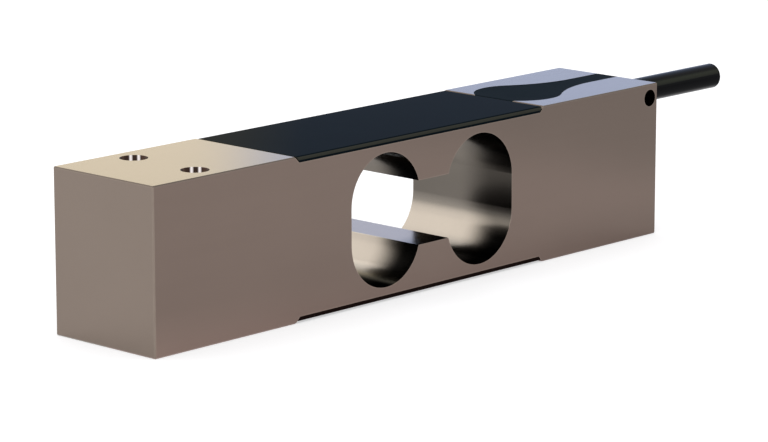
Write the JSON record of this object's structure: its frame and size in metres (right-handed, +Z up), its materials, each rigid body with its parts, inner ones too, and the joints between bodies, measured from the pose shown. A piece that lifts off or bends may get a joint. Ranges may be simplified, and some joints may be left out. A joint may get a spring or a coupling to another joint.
{
  "type": "single point load cell",
  "caption": "Single point load cell: an aluminium bar with a dog-bone bore, covered gauge recesses, tapped mounting holes, a resin-filled cable pocket and a cable stub.",
  "frame": {"origin": "middle of the bar's footprint, on the plane of the base face that it stands on (bottom centre of the bar's box, without the free cable)", "axes": "+Z up, from the base face to the load face; +X along the bar towards the end that the cable leaves; +Y across the bar, away from the side with the clamp screw's hole"},
  "size_m": [0.1682, 0.025, 0.03],
  "materials": {
    "bar_aluminium": "satin milled aluminium alloy, warm grey",
    "cover_black": "smooth black moulded plastic",
    "potting_black": "black casting resin, semi-gloss",
    "cable_sheath": "black extruded sheath",
    "screen_braid": "tinned copper braid",
    "core_red": "red core insulation",
    "core_black": "black core insulation",
    "core_green": "green core insulation",
    "core_white": "white core insulation",
    "gauge_foil": "metal foil on an amber carrier",
    "gauge_coat": "translucent silicone rubber",
    "flex_film": "amber film circuit with copper pads",
    "jumper_ribbon": "flat tinned copper ribbon",
    "board_laminate": "green circuit board",
    "chip_ceramic": "black chip resistor",
    "solder": "bright solder",
    "screw_black": "black oxidised steel"
  },
  "bodies": {
    "root": {"sensing_body": "bar_aluminium", "top_cover": "cover_black", "bottom_cover": "cover_black", "pocket_potting": "potting_black", "clamp_screw": "screw_black", "cable_stub": "cable_sheath", "cable_sheath_end": "cable_sheath", "cable_screen": "screen_braid", "core_red": "core_red", "core_black": "core_black", "core_green": "core_green", "core_white": "core_white", "gauge_top_near": "gauge_foil", "gauge_top_far": "gauge_foil", "gauge_bottom_near": "gauge_foil", "gauge_bottom_far": "gauge_foil", "coat_top_near": "gauge_coat", "coat_top_far": "gauge_coat", "coat_bottom_near": "gauge_coat", "coat_bottom_far": "gauge_coat", "top_flex": "flex_film", "bottom_flex": "flex_film", "top_jumpers": "jumper_ribbon", "bottom_jumpers": "jumper_ribbon", "bridge_board": "board_laminate", "span_resistors": "chip_ceramic", "zero_resistor": "chip_ceramic", "solder_joints": "solder"}
  },
  "joints": []
}
